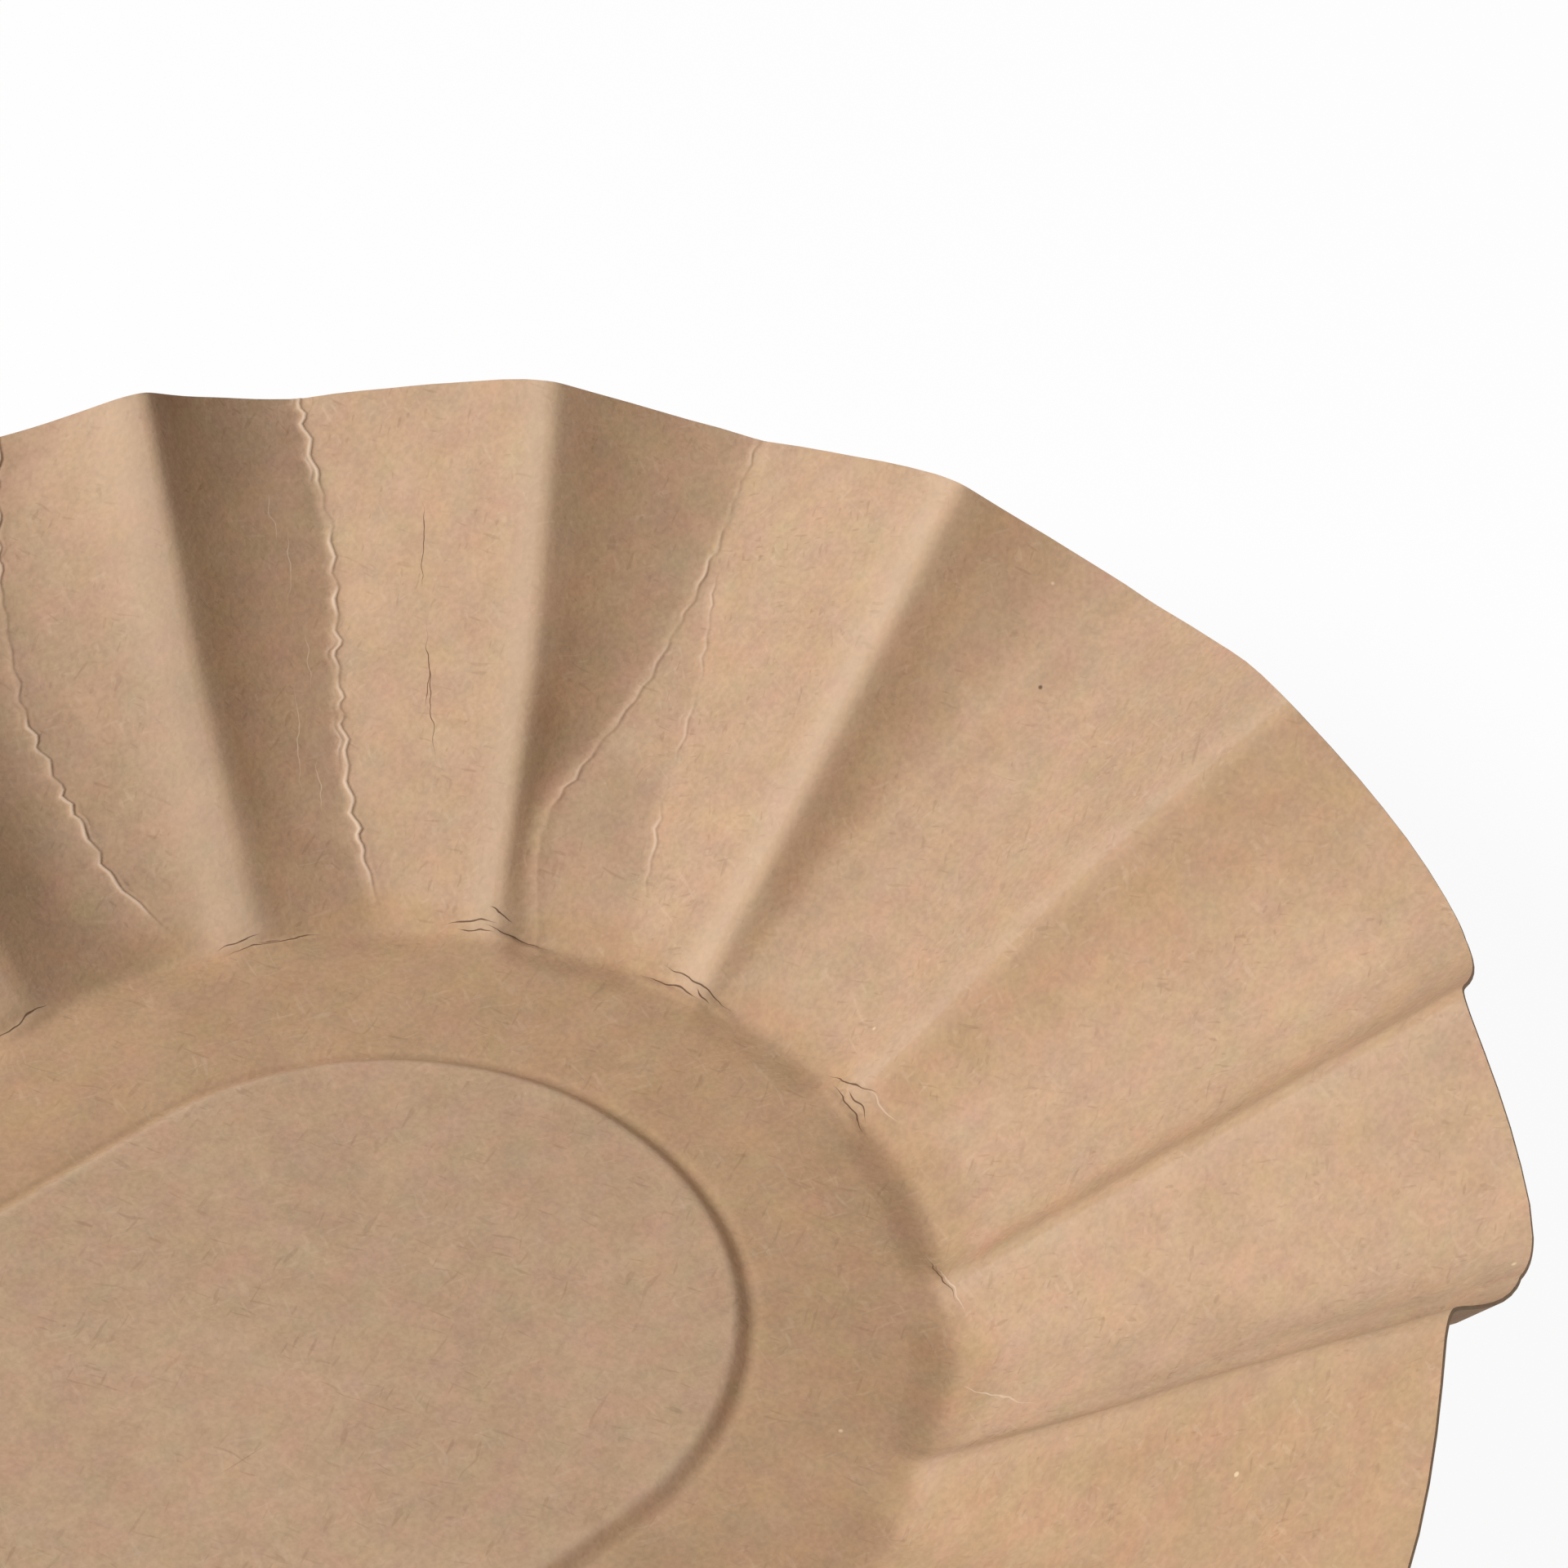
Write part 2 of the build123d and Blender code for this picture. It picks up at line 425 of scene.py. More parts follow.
def floorHeight(radius, hollow):
    # flat panel, sloped border, flat ring out to the fold, lower at the foot of each groove
    panel = 1 - smoothStep(radius, tray["panelRadius"], tray["panelRadius"] + tray["panelBorder"])
    dipStart = tray["ringRadius"] - 0.1
    dip = tray["grooveDip"] * hollow * smoothStep(radius, dipStart, tray["ringRadius"] + tray["dipReach"])
    foot = tray["panelRadius"] + tray["panelBorder"] + 0.05
    line = tray["pressLine"] * np.exp(-((radius - foot) / tray["pressWidth"]) ** 2)
    return tray["board"] + tray["ringRise"] + tray["panelRise"] * panel - dip - line


def onPlan(station, climb):
    # a place on the inside of the plain wall, seen from above
    centre, outX, outY = placeOnOval(np.asarray(station, dtype=float))
    radius = tray["foldRadius"] + (tray["rimRadius"] - tray["foldRadius"]) * climb
    return float(centre + outX * radius), float(outY * radius)


def raiseCracks(x, y, height):
    # the board's loose edge stands up along one side of each crack
    for start, end, lift, _ in cracks:
        for turn in (0, flutesPerHalf):
            ax, ay = onPlan(start[0] + turn, start[1])
            bx, by = onPlan(end[0] + turn, end[1])
            length = math.hypot(bx - ax, by - ay)
            ux, uy = (bx - ax) / length, (by - ay) / length
            along = ((x - ax) * ux + (y - ay) * uy) / length
            beside = (x - ax) * uy - (y - ay) * ux
            taper = np.sqrt(np.clip(4 * along * (1 - along), 0, 1))
            edge = np.exp(-((beside - crackEdges["place"]) / crackEdges["width"]) ** 2)
            hollow = np.exp(-((beside + crackEdges["hollowPlace"]) / crackEdges["hollowWidth"]) ** 2)
            height = height + taper * lift * (edge - crackEdges["hollow"] * hollow)
    return height


def unevenLift(flute, part, climb):
    # ridges that stand higher and grooves that lie lower toward the rim
    ridge = np.where(part < 0.5, ridgeRise.get(flute, 0), ridgeRise.get((flute + 1) % flutesAround, 0))
    uneven = ridge * np.cos(np.pi * part) ** 2 - grooveDrop.get(flute, 0) * np.sin(np.pi * part) ** 2
    return uneven * np.maximum(climb, 0)[:, None] ** 2


def creaseHeights(across, shape, climb):
    # of a double fold's two lines, the first ends two thirds of the way up and the second goes on to the rim
    if not shape["crumple"]:
        return 0 * across
    ends = creasing["firstEnds"] if shape["double"] else creasing["singleEnds"]
    seed = seeds["firstLine"] + shape["number"]
    crease = creaseRidge(across, shape["firstLine"], climb, shape["crumple"], ends, seed)
    if shape["double"]:
        strength, ends = creasing["secondStrength"], creasing["secondEnds"]
        seed = seeds["secondLine"] + shape["number"]
        crease = crease + creaseRidge(across, shape["secondLine"], climb, strength, ends, seed)
    return crease


def paintedHighlightCrests(across, shape, part, climb):
    # painted highlight along the crests, strongest on crests 4 to 6, and far down the flanks of flute 6
    fade = 4.5 if shape["number"] == 6 else 1.9
    highlightStrength = np.interp(shape["number"] + part, (3.3, 3.7, 6.3, 6.9), (0.35, 1, 1, 0.35))
    edge = np.minimum(across, shape["width"][:, None] - across)
    return highlightStrength * (1 - smoothStep(edge, 0.3, fade)) * smoothStep(climb, -0.01, 0.03)[:, None]


def paintedShadeSides(shape, part, climb):
    # painted shade on the sharp side of each ridge, and darker all over the first flute of each end
    paintedShade = 0 * part + (0.9 if shape["number"] % flutesPerHalf == 0 else 0)
    startsSharp, endsSharp = sharpSides(shape["number"])
    first, second = (shape[name][:, None] / shape["width"][:, None] for name in ("first", "second"))
    if endsSharp:
        paintedShade = paintedShade + smoothStep(part, second - 0.05, 0.97)
    if startsSharp:
        paintedShade = np.maximum(paintedShade, 1 - smoothStep(part, 0.05, first + 0.05))
    return paintedShade * smoothStep(climb, 0.0, 0.1)[:, None]


def traySurface():
    # inside face of the sheet, a grid of rows from the middle of the floor to the rim
    borderFoot = tray["panelRadius"] + tray["panelBorder"]
    floorRows = np.concatenate([
        np.linspace(tray["capRadius"], tray["panelRadius"] - 0.5, 6),
        np.linspace(tray["panelRadius"] - 0.2, borderFoot + 0.7, 11),
        np.linspace(borderFoot + 1.7, tray["ringRadius"] - 1.2, 3),
    ])
    band = meshing["footBand"]
    climb = np.concatenate([
        np.linspace(-band, band, meshing["footRows"]),
        np.linspace(band, 1, meshing["wallRows"])[1:],
    ])
    shapes = [fluteShape(flute, climb) for flute in range(flutesAround)]
    stations, lifts, hollows, crests, creases, denses = [], [], [], [], [], []
    for flute, shape in enumerate(shapes):
        across = fluteColumns(shape, flute in meshing["nearFlutes"])
        part, depth = across / shape["width"][:, None], shape["depth"][:, None]
        lift = fluteLift(across, shape, shapes[flute - 1], shapes[(flute + 1) % flutesAround])
        lift = lift + unevenLift(flute, part, climb)
        stations.append(flute + shiftOf(flute, climb)[:, None] + across / shape["each"][:, None])
        lifts.append(lift)
        hollows.append(smoothStep((depth / 2 - lift) / depth, 0.1, 0.95))
        crests.append(paintedHighlightCrests(across, shape, part, climb))
        creases.append(creaseHeights(across, shape, climb))
        denses.append(paintedShadeSides(shape, part, climb))
    parts = (stations, lifts, hollows, crests, creases, denses)
    station, lift, hollow, crest, crease, sharpSide = (np.concatenate(part, axis=1) for part in parts)
    count = len(floorRows)
    stations = np.concatenate([np.repeat(station[:1], count, axis=0), station])
    floorMarks = np.zeros((count, station.shape[1]))
    crest, crease, sharpSide = (np.concatenate([floorMarks, part]) for part in (crest, crease, sharpSide))
    grids = []
    for creased in (tray["creaseHeight"], 0):
        # once with the creases and cracks, and once plain for the outside
        up, raised = climb[:, None], lift + creased * crease[count:]
        radius = tray["foldRadius"] + (tray["rimRadius"] - tray["foldRadius"]) * up - raised * math.sin(slope)
        height = tray["board"] + (tray["rimHeight"] - tray["board"]) * up + raised * math.cos(slope)
        height = smoothMax(height, floorHeight(radius, hollow), tray["foldSoftness"]) - tray["foldSoftness"] * 0.1
        flatRadius = np.repeat(floorRows[:, None], station.shape[1], axis=1)
        radius = np.concatenate([flatRadius, radius])
        height = np.concatenate([floorHeight(flatRadius, 0 * flatRadius), height])
        centre, outX, outY = placeOnOval(stations)
        x, y = centre + outX * radius, outY * radius
        bumps = 0 * x
        for number, (length, share) in enumerate(tray["waves"]):
            bumps = bumps + share * softWaves(x, y, length, tray["waveCount"], tray["seed"] + number)
        height = height + tray["undulation"] * bumps * np.minimum(radius / tray["waveFade"], 1)
        height = raiseCracks(x, y, height) if creased else height
        grids.append(np.stack([x, y, height], axis=-1))
    # painted highlight along the top of the panel's border, painted shade along its foot, and painted shade over the
    # ring
    strength, place, width = borderHighlight
    crest = crest + strength * np.exp(-((radius - tray["panelRadius"] - place) / width) ** 2)
    strength, place, width = borderShade
    crease = crease - strength * np.exp(-((radius - borderFoot - place) / width) ** 2)
    paintedShade = smoothStep(radius, borderFoot - 0.8, borderFoot) * (1 - smoothStep(height, 1.0, 2.2))
    return grids[0], grids[1], count, {"paintedHighlight": crest, "creased": crease, "paintedShade": np.maximum(paintedShade, sharpSide)}


def gridNormals(grid):
    along = np.roll(grid, -1, axis=1) - np.roll(grid, 1, axis=1)
    outward = np.gradient(grid, axis=0)
    normal = np.cross(outward, along)
    return normal / np.linalg.norm(normal, axis=2, keepdims=True)


def makeTray():
    inner, plain, floorCount, marks = traySurface()
    rowCount, columnCount = inner.shape[:2]
    floorStep, footStep, wallStep = meshing["outsideSteps"]
    wallStart = floorCount + meshing["footRows"]
    kept = [*range(0, floorCount, floorStep), *range(floorCount, wallStart, footStep)]
    kept += [*range(wallStart + 3, rowCount - 4, wallStep), rowCount - 1]
    normal = gridNormals(plain)
    thickness = np.full(rowCount, tray["board"])
    thickness[-1] = tray["cutEdge"]
    outer = (plain - normal * thickness[:, None, None])[kept]
    print("rows", rowCount, "columns", columnCount)

    points = np.concatenate([inner.reshape(-1, 3), outer.reshape(-1, 3)]) * 0.001
    column = np.arange(columnCount)
    following = np.roll(column, -1)
    faces = []

    def strip(first, second, flipped):
        quad = [first + column, first + following, second + following, second + column]
        quad = quad[::-1] if flipped else quad
        faces.append(np.stack(quad, axis=1))

    for row in range(rowCount - 1):
        strip(row * columnCount, (row + 1) * columnCount, True)
    start = rowCount * columnCount
    for row in range(len(kept) - 1):
        strip(start + row * columnCount, start + (row + 1) * columnCount, False)
    innerRim = (rowCount - 1) * columnCount
    outerRim = start + (len(kept) - 1) * columnCount
    strip(innerRim, outerRim, True)
    quads = np.concatenate(faces)
    caps = [column, (start + column)[::-1]]

    mesh = bpy.data.meshes.new("traySheet")
    mesh.from_pydata(points.tolist(), [], quads.tolist() + [cap.tolist() for cap in caps])
    mesh.polygons.foreach_set("use_smooth", np.ones(len(mesh.polygons), dtype=bool))
    ends = np.empty(len(mesh.edges) * 2, dtype=np.int32)
    mesh.edges.foreach_get("vertices", ends)
    ends = ends.reshape(-1, 2)
    onInner = (ends >= innerRim) & (ends < innerRim + columnCount)
    onOuter = ends >= outerRim
    sharp = mesh.attributes.new("sharp_edge", "BOOLEAN", "EDGE")
    sharp.data.foreach_set("value", onInner.all(axis=1) | onOuter.all(axis=1))
    for name, values in marks.items():
        layer = mesh.attributes.new(name, "FLOAT", "POINT")
        outside = 0 * values[kept]
        layer.data.foreach_set("value", np.concatenate([values.ravel(), outside.ravel()]).astype(np.float32))
    mesh.validate()
    mesh.update()
    piece = bpy.data.objects.new("traySheet", mesh)
    bpy.context.collection.objects.link(piece)
    triangles = sum(len(face.vertices) - 2 for face in mesh.polygons)
    print("tray sheet", len(mesh.vertices), "points", triangles, "triangles")
    return piece


sheet = makeTray()
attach(sheet, "root")
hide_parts("tray")

# brown kraft board: linear colours, noise scales per metre
kraft = {
    "colour": (0.470, 0.312, 0.200, 1),
    "paleFibre": (0.640, 0.480, 0.345, 1),
    "darkFibre": (0.185, 0.100, 0.052, 1),
    "creaseHighlight": (0.660, 0.495, 0.360, 1),
    "crackShadowColour": (0.090, 0.045, 0.024, 1),
    "paleFleck": (0.75, 0.58, 0.36, 1),
    "darkFleck": (0.05, 0.03, 0.02, 1),
    "paintedShadeTint": (0.935, 0.895, 0.82),     # painted shade on the ring and on the sharp sides of ridges
    "roughness": 0.85,
    "specular": 0.25,
    "cloudScale": 70,
    "cloudShade": (0.955, 1.035),
    "mottleScale": 480,
    "mottleShade": 0.05,
    "grainScale": 3200,
    "grainShade": 0.07,
    "tintScale": 520,
    "tintShare": 0.075,
    "fibreScale": 4200,
    "fibreSlimness": 0.15,
    "fibreWobble": 0.0006,
    "fibreWobbleScale": 500,
    "fibrePatchScale": 330,
    "thinnestPatch": 0.3,
    "paleFibres": {"turns": (0.3, 1.9), "strength": 0.16, "rarity": 0.69},    # turns in radians
    "darkFibres": {"turns": (1.1, 2.7), "strength": 0.22, "rarity": 0.715},
    "fleckScale": 260,
    "fleckSize": (0.02, 0.045),
    "paleFlecksAbove": 0.8,
    "darkFlecksBelow": 0.07,
    "crackWidth": 0.000068,
    "crackWobble": 0.0006,
    "crackWobbleScale": 900,
    "bump": 0.3,
    "bumpHeight": 0.00006,
}
# how strongly each mark covers the board's colour; crease is a painted highlight along each crease's raised line,
# hollow a painted shade beside it
cover = {
    "paleFleck": 0.75, "darkFleck": 0.8, "paintedHighlight": 0.36, "crease": 0.9, "hollow": 0.3,
    "crackHighlight": 0.75, "crackShadow": 0.88,
}


def newGroup(name, inputs, outputs):
    group = bpy.data.node_groups.new(name, "ShaderNodeTree")
    for socketName, kind, value in inputs:
        socket = group.interface.new_socket(socketName, in_out="INPUT", socket_type=kind)
        socket.default_value = value
    for socketName, kind in outputs:
        group.interface.new_socket(socketName, in_out="OUTPUT", socket_type=kind)
    return group, group.nodes.new("NodeGroupInput"), group.nodes.new("NodeGroupOutput")


def join(links, source, target):
    # links an output, or sets a plain value
    if isinstance(source, bpy.types.NodeSocket):
        links.new(source, target)
    else:
        target.default_value = source


def mathNode(tree, operation, *values):
    node = tree.nodes.new("ShaderNodeMath")
    node.operation = operation
    for number, value in enumerate(values):
        join(tree.links, value, node.inputs[number])
    return node.outputs[0]


def vectorNode(tree, operation, *values):
    node = tree.nodes.new("ShaderNodeVectorMath")
    node.operation = operation
    for number, value in enumerate(values):
        join(tree.links, value, node.inputs[3 if operation == "SCALE" and number == 1 else number])
    return node.outputs["Value" if operation == "DOT_PRODUCT" else "Vector"]


def remap(tree, value, low, high, lowTo=0.0, highTo=1.0):
    node = tree.nodes.new("ShaderNodeMapRange")
    node.interpolation_type = "SMOOTHSTEP"
    names = ("Value", "From Min", "From Max", "To Min", "To Max")
    for name, given in zip(names, (value, low, high, lowTo, highTo)):
        join(tree.links, given, node.inputs[name])
    return node.outputs["Result"]


def noiseNode(tree, place, scale, detail=2.0, roughness=0.5):
    node = tree.nodes.new("ShaderNodeTexNoise")
    join(tree.links, place, node.inputs["Vector"])
    join(tree.links, scale, node.inputs["Scale"])
    node.inputs["Detail"].default_value = detail
    node.inputs["Roughness"].default_value = roughness
    return node


def mixColour(tree, share, first, second):
    node = tree.nodes.new("ShaderNodeMix")
    node.data_type = "RGBA"
    join(tree.links, share, node.inputs[0])
    join(tree.links, first, node.inputs[6])
    join(tree.links, second, node.inputs[7])
    return node.outputs[2]


def makeFibreGroup():
    # short hairs that lie one way: high spots of a drawn-out noise
    group, given, out = newGroup("boardFibres", [
        ("Vector", "NodeSocketVector", (0, 0, 0)),
        ("Scale", "NodeSocketFloat", 2300.0),
        ("Turn", "NodeSocketFloat", 0.0),
        ("Slimness", "NodeSocketFloat", 0.1),
        ("Rarity", "NodeSocketFloat", 0.66),
    ], [("Mask", "NodeSocketFloat")])
    turned = group.nodes.new("ShaderNodeVectorRotate")
    turned.rotation_type = "Z_AXIS"
    group.links.new(given.outputs["Vector"], turned.inputs["Vector"])
    group.links.new(given.outputs["Turn"], turned.inputs["Angle"])
    slim = group.nodes.new("ShaderNodeCombineXYZ")
    slim.inputs[0].default_value = 1
    group.links.new(given.outputs["Slimness"], slim.inputs[1])
    slim.inputs[2].default_value = 0.5
    drawn = vectorNode(group, "MULTIPLY", turned.outputs[0], slim.outputs[0])
    hair = noiseNode(group, drawn, given.outputs["Scale"], 0.0)
    full = mathNode(group, "ADD", given.outputs["Rarity"], 0.09)
    group.links.new(remap(group, hair.outputs["Fac"], given.outputs["Rarity"], full), out.inputs["Mask"])
    return group


def makeCrackGroup():
    # one fine crack seen from above, a slim lens: Along and Beside are 1 at its end and at its edge
    names = ("Vector", "Middle", "Along", "Beside")
    inputs = [(name, "NodeSocketVector", (0, 0, 0)) for name in names]
    group, given, out = newGroup("boardCrack", inputs, [("Mask", "NodeSocketFloat")])
    reach = vectorNode(group, "SUBTRACT", given.outputs["Vector"], given.outputs["Middle"])
    along = vectorNode(group, "DOT_PRODUCT", reach, given.outputs["Along"])
    beside = mathNode(group, "ABSOLUTE", vectorNode(group, "DOT_PRODUCT", reach, given.outputs["Beside"]))
    lens = mathNode(group, "SUBTRACT", 1.0, mathNode(group, "MULTIPLY", along, along))
    mask = mathNode(group, "MULTIPLY", mathNode(group, "SUBTRACT", lens, beside), 2.0)
    group.links.new(mask, out.inputs["Mask"])
    return group


def placeGroup(tree, group, **values):
    node = tree.nodes.new("ShaderNodeGroup")
    node.node_tree = group
    for name, value in values.items():
        join(tree.links, value, node.inputs[name.capitalize()])
    return node.outputs[0]


def crackMask(tree, group, place):
    # every crack stands on both ends of the tray, turned half a turn
    flat = vectorNode(tree, "MULTIPLY", place, (1, 1, 0))
    parts = tree.nodes.new("ShaderNodeSeparateXYZ")
    tree.links.new(flat, parts.inputs[0])
    turned = vectorNode(tree, "SCALE", flat, mathNode(tree, "SIGN", parts.outputs[0]))
    wobble = noiseNode(tree, place, kraft["crackWobbleScale"], 1.0)
    shifted = vectorNode(tree, "SUBTRACT", wobble.outputs["Color"], (0.5, 0.5, 0.5))
    reach = (kraft["crackWobble"], kraft["crackWobble"], 0)
    bent = vectorNode(tree, "ADD", turned, vectorNode(tree, "MULTIPLY", shifted, reach))
    total = {"dark": 0.0, "pale": 0.0}
    for start, end, lift, tone in cracks:
        first, last = (np.array(onPlan(*point)) * 0.001 for point in (start, end))
        side = 1 if first[0] + last[0] > 0 else -1
        middle, half = side * (first + last) / 2, side * (last - first) / 2
        length, width = np.linalg.norm(half), kraft["crackWidth"] * (0.5 + 5 * lift)
        along, beside = half / length ** 2, np.array([-half[1], half[0]]) / length / width
        one = placeGroup(tree, group, vector=bent, middle=(*middle, 0), along=(*along, 0), beside=(*beside, 0))
        total[tone] = mathNode(tree, "MAXIMUM", total[tone], one)
    return [mathNode(tree, "MINIMUM", total[tone], 1.0) for tone in ("dark", "pale")]


def makeKraft():
    material = bpy.data.materials.new("kraftBoard")
    material.use_nodes = True
    tree = material.node_tree
    nodes, links = tree.nodes, tree.links
    shader = nodes["Principled BSDF"]
    shader.inputs["Roughness"].default_value = kraft["roughness"]
    shader.inputs["Specular IOR Level"].default_value = kraft["specular"]
    place = nodes.new("ShaderNodeTexCoord").outputs["Object"]

    cloud = noiseNode(tree, place, kraft["cloudScale"], 2.0, 0.6)
    mottle = noiseNode(tree, place, kraft["mottleScale"], 2.0, 0.6)
    grain = noiseNode(tree, place, kraft["grainScale"], 1.0, 0.6)
    shade = remap(tree, cloud.outputs["Fac"], 0.3, 0.7, *kraft["cloudShade"])
    mottling = remap(tree, mottle.outputs["Fac"], 0.25, 0.75, -kraft["mottleShade"], kraft["mottleShade"])
    graining = remap(tree, grain.outputs["Fac"], 0.2, 0.8, -kraft["grainShade"], kraft["grainShade"])
    shade = mathNode(tree, "ADD", mathNode(tree, "ADD", shade, mottling), graining)
    colour = vectorNode(tree, "SCALE", kraft["colour"][:3], shade)
    tint = noiseNode(tree, place, kraft["tintScale"], 1.0)
    tinted = vectorNode(tree, "MULTIPLY", colour, vectorNode(tree, "SCALE", tint.outputs["Color"], 2.0))
    colour = mixColour(tree, kraft["tintShare"], colour, tinted)

    # painted shade on the ring and on the sharp side of each ridge, and darker all over the first flute of each end
    paintedShade = nodes.new("ShaderNodeAttribute")
    paintedShade.attribute_name = "paintedShade"
    colour = mixColour(tree, paintedShade.outputs["Fac"], colour, vectorNode(tree, "MULTIPLY", colour, kraft["paintedShadeTint"]))

    fibres = makeFibreGroup()
    wobble = noiseNode(tree, place, kraft["fibreWobbleScale"], 0.0)
    bent = vectorNode(tree, "ADD", place, vectorNode(tree, "SCALE", wobble.outputs["Color"], kraft["fibreWobble"]))
    patch = noiseNode(tree, place, kraft["fibrePatchScale"], 1.0)
    patches = remap(tree, patch.outputs["Fac"], 0.35, 0.65, kraft["thinnestPatch"], 1.0)
    for kind, tone in ((kraft["paleFibres"], kraft["paleFibre"]), (kraft["darkFibres"], kraft["darkFibre"])):
        for number, turn in enumerate(kind["turns"]):
            # the second way has shorter and slimmer hairs
            scale = kraft["fibreScale"] * (1 + 0.25 * number)
            slimness = kraft["fibreSlimness"] - 0.03 * number
            hair = placeGroup(
                tree, fibres, vector=bent, scale=scale, turn=turn, slimness=slimness, rarity=kind["rarity"])
            share = mathNode(tree, "MULTIPLY", mathNode(tree, "MULTIPLY", hair, patches), kind["strength"])
            colour = mixColour(tree, share, colour, tone)

    fleck = nodes.new("ShaderNodeTexVoronoi")
    join(links, place, fleck.inputs["Vector"])
    fleck.inputs["Scale"].default_value = kraft["fleckScale"]
    chosen = nodes.new("ShaderNodeSeparateColor")
    links.new(fleck.outputs["Color"], chosen.inputs[0])
    spot = remap(tree, fleck.outputs["Distance"], *kraft["fleckSize"], 1.0, 0.0)
    isPale = mathNode(tree, "GREATER_THAN", chosen.outputs[0], kraft["paleFlecksAbove"])
    isDark = mathNode(tree, "LESS_THAN", chosen.outputs[0], kraft["darkFlecksBelow"])
    pale, dark = mathNode(tree, "MULTIPLY", spot, isPale), mathNode(tree, "MULTIPLY", spot, isDark)
    colour = mixColour(tree, mathNode(tree, "MULTIPLY", pale, cover["paleFleck"]), colour, kraft["paleFleck"])
    colour = mixColour(tree, mathNode(tree, "MULTIPLY", dark, cover["darkFleck"]), colour, kraft["darkFleck"])

    # painted highlight on the ridge crests, down the flanks of flute 6 and along the top of the panel's border
    paintedHighlight = nodes.new("ShaderNodeAttribute")
    paintedHighlight.attribute_name = "paintedHighlight"
    share = mathNode(tree, "MULTIPLY", paintedHighlight.outputs["Fac"], cover["paintedHighlight"])
    colour = mixColour(tree, share, colour, kraft["paleFibre"])
    # painted highlight along the raised line of each crumpled crease, and painted shade in the hollow beside it and
    # along the foot of the panel's border
    creased = nodes.new("ShaderNodeAttribute")
    creased.attribute_name = "creased"
    raised = remap(tree, creased.outputs["Fac"], 0.15, 0.7, 0.0, cover["crease"])
    sunk = remap(tree, creased.outputs["Fac"], -0.06, -0.35, 0.0, cover["hollow"])
    colour = mixColour(tree, raised, colour, kraft["creaseHighlight"])
    colour = mixColour(tree, sunk, colour, kraft["darkFibre"])

    # painted shadow along the dark cracks and under their raised edges, and painted highlight along the pale ones
    crackShadows, crackHighlights = crackMask(tree, makeCrackGroup(), place)
    colour = mixColour(tree, mathNode(tree, "MULTIPLY", crackHighlights, cover["crackHighlight"]), colour, kraft["paleFibre"])
    colour = mixColour(tree, mathNode(tree, "MULTIPLY", crackShadows, cover["crackShadow"]), colour, kraft["crackShadowColour"])
    links.new(colour, shader.inputs["Base Color"])

    bump = nodes.new("ShaderNodeBump")
    bump.inputs["Strength"].default_value = kraft["bump"]
    bump.inputs["Distance"].default_value = kraft["bumpHeight"]
    links.new(grain.outputs["Fac"], bump.inputs["Height"])
    links.new(bump.outputs[0], shader.inputs["Normal"])
    return material


sheet.data.materials.append(makeKraft())
print("kraft board ready")

# floor, lamp and backdrop
studio = {
    "floorColour": (0.9, 0.9, 0.9, 1),
    "floorReach": 3.0,
    "floorDrop": 0.0001,
    "floorGlow": 0.94,                 # share of white where a ray sees it as backdrop
    "keyPlace": (-0.68, 0.28, 0.66),
    "keyAim": (0.05, 0, 0),
    "keySize": 0.45,
    "keyPower": 12.2,
    "skyStrength": 0.2,
}


def whiteRays(tree):
    # rays that see the backdrop plain white: the camera's, mirrored ones and those through clear things
    seen = tree.nodes.new("ShaderNodeLightPath")
    either = mathNode(tree, "MAXIMUM", seen.outputs["Is Camera Ray"], seen.outputs["Is Glossy Ray"])
    return mathNode(tree, "MAXIMUM", either, seen.outputs["Is Transmission Ray"])


def makeFloor():
    mesh = bpy.data.meshes.new("floor")
    reach = studio["floorReach"]
    corners = [(-reach, -reach, 0), (reach, -reach, 0), (reach, reach, 0), (-reach, reach, 0)]
    mesh.from_pydata(corners, [], [(0, 1, 2, 3)])
    floor = bpy.data.objects.new("floor", mesh)
    bpy.context.collection.objects.link(floor)
    floor.location.z = -studio["floorDrop"]
    material = bpy.data.materials.new("paleFloor")
    material.use_nodes = True
    nodes, links = material.node_tree.nodes, material.node_tree.links
    nodes.clear()
    out = nodes.new("ShaderNodeOutputMaterial")
    matt = nodes.new("ShaderNodeBsdfDiffuse")
    matt.inputs["Color"].default_value = studio["floorColour"]
    glow = nodes.new("ShaderNodeEmission")
    glow.inputs["Strength"].default_value = 1.0
    share = mathNode(material.node_tree, "MULTIPLY", whiteRays(material.node_tree), studio["floorGlow"])
    mix = nodes.new("ShaderNodeMixShader")
    links.new(share, mix.inputs[0])
    links.new(matt.outputs[0], mix.inputs[1])
    links.new(glow.outputs[0], mix.inputs[2])
    links.new(mix.outputs[0], out.inputs["Surface"])
    mesh.materials.append(material)


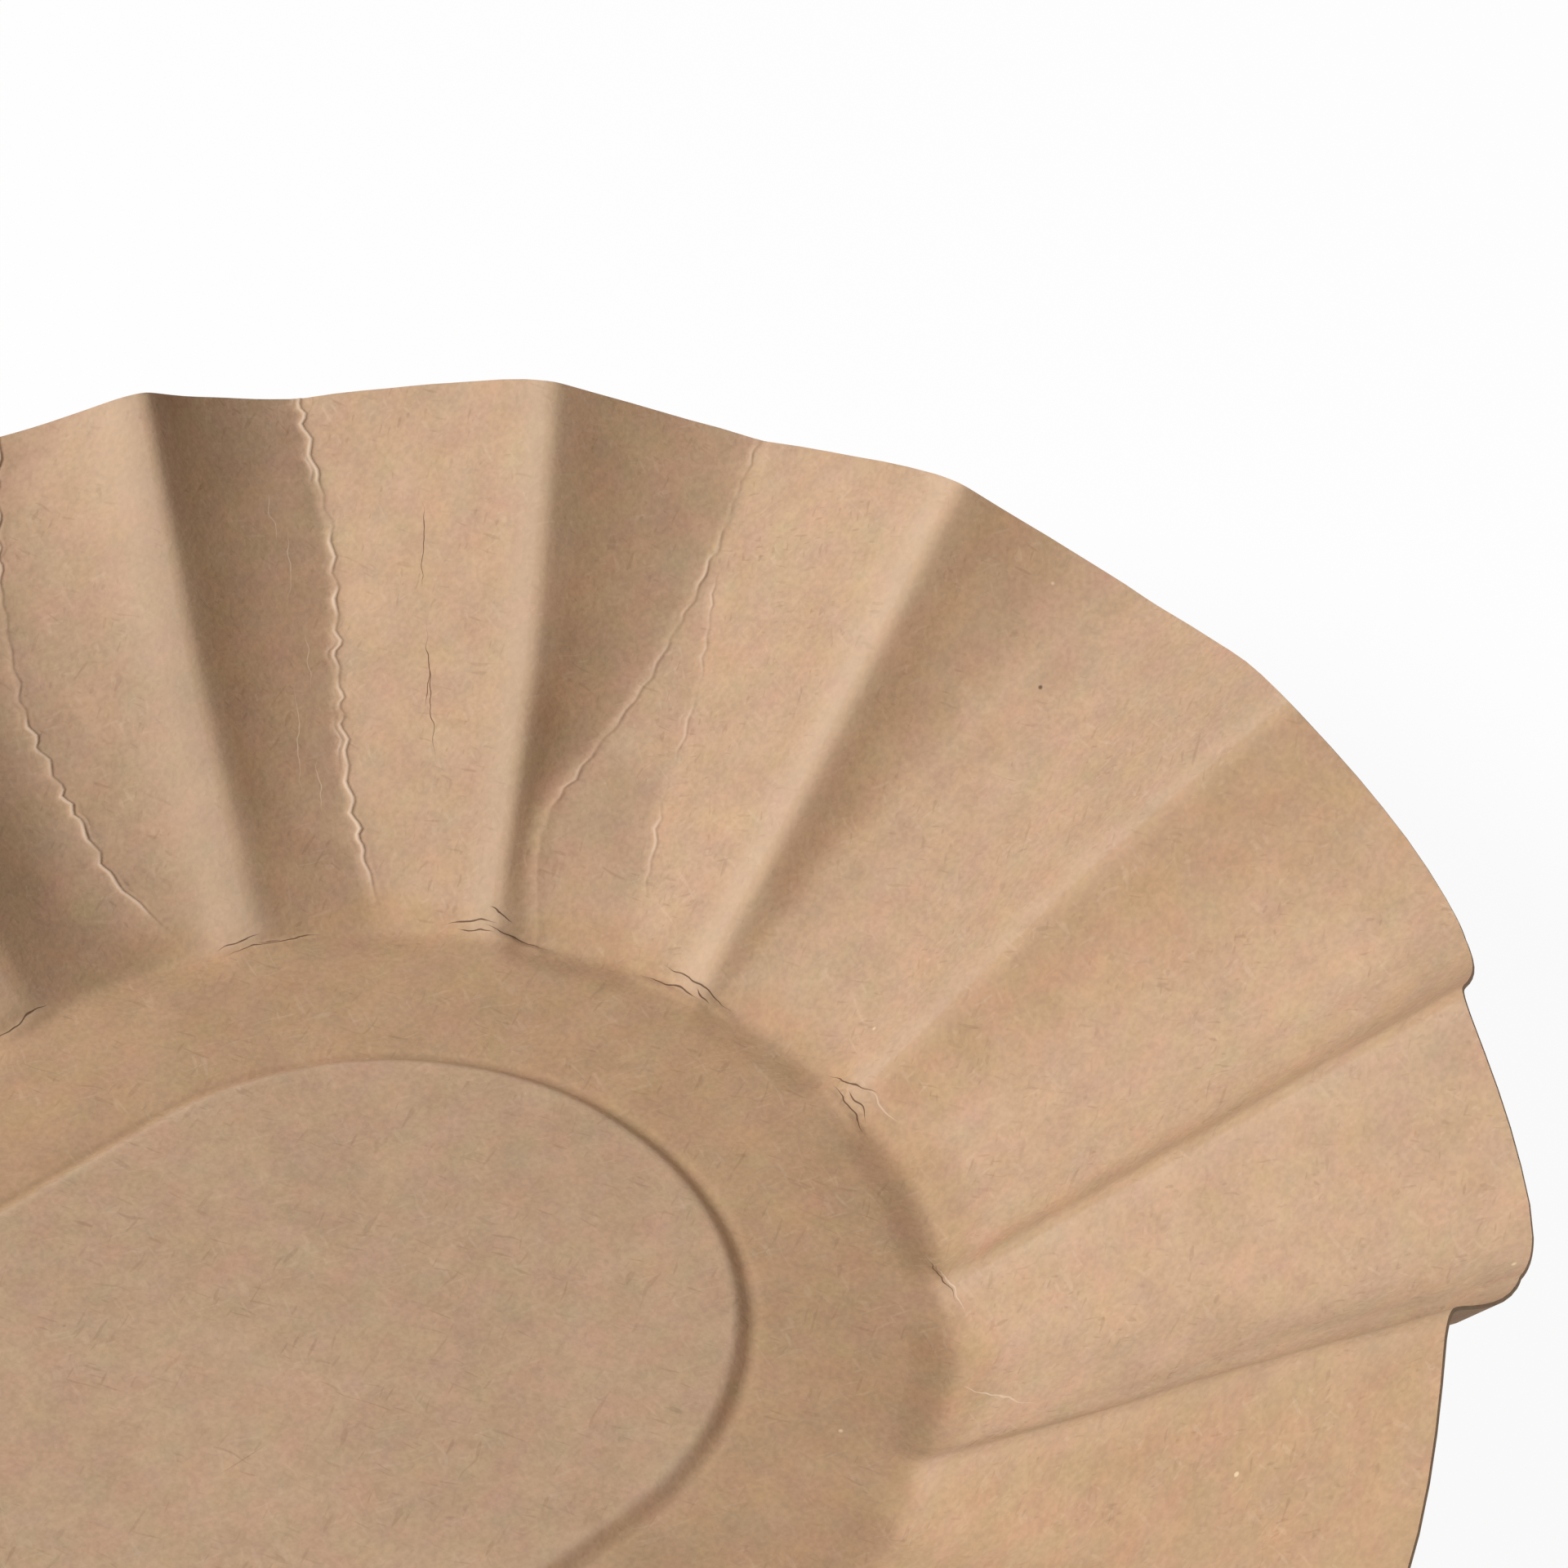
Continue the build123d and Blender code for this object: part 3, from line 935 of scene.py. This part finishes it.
def makeLight():
    lamp = bpy.data.lights.new("key", "AREA")
    lamp.shape = "DISK"
    lamp.size = studio["keySize"]
    lamp.energy = studio["keyPower"]
    key = bpy.data.objects.new("key", lamp)
    key.location = studio["keyPlace"]
    key.rotation_euler = (Vector(studio["keyAim"]) - key.location).to_track_quat("-Z", "Y").to_euler()
    bpy.context.collection.objects.link(key)
    world = bpy.data.worlds.new("studio")
    bpy.context.scene.world = world
    world.use_nodes = True
    nodes, links = world.node_tree.nodes, world.node_tree.links
    sky = nodes["Background"]
    sky.inputs["Color"].default_value = (1, 1, 1, 1)
    sky.inputs["Strength"].default_value = studio["skyStrength"]
    white = nodes.new("ShaderNodeBackground")
    white.inputs["Strength"].default_value = 1.0
    white.inputs["Color"].default_value = (1, 1, 1, 1)
    mix = nodes.new("ShaderNodeMixShader")
    links.new(whiteRays(world.node_tree), mix.inputs[0])
    links.new(sky.outputs[0], mix.inputs[1])
    links.new(white.outputs[0], mix.inputs[2])
    links.new(mix.outputs[0], nodes["World Output"].inputs["Surface"])


# where the photo was taken from: angles in radians, places in metres
view = {
    "azimuth": -0.79084,
    "elevation": 0.71031,
    "roll": 0.05005,
    "distance": 0.24885,
    "target": (0.071723, 0.015393, 0.001),
    "lens": 106.656,
    "sensor": 36,
    "clipStart": 0.01,
}


def makeCamera():
    azimuth, elevation = view["azimuth"], view["elevation"]
    level = math.cos(elevation)
    back = Vector((math.sin(azimuth) * level, -math.cos(azimuth) * level, math.sin(elevation)))
    right = (-back).cross(Vector((0, 0, 1))).normalized()
    up = right.cross(-back)
    cosRoll, sinRoll = math.cos(view["roll"]), math.sin(view["roll"])
    rolledRight = right * cosRoll + up * sinRoll
    rolledUp = up * cosRoll - right * sinRoll
    lensBody = bpy.data.cameras.new("camera")
    lensBody.sensor_width = view["sensor"]
    lensBody.lens = view["lens"]
    lensBody.clip_start = view["clipStart"]
    camera = bpy.data.objects.new("camera", lensBody)
    turn = Matrix((rolledRight, rolledUp, back)).transposed().to_4x4()
    camera.matrix_world = Matrix.Translation(Vector(view["target"]) + back * view["distance"]) @ turn
    bpy.context.collection.objects.link(camera)
    bpy.context.scene.camera = camera


makeFloor()
makeLight()
makeCamera()
bpy.context.scene.view_settings.view_transform = "Standard"
print("studio ready")
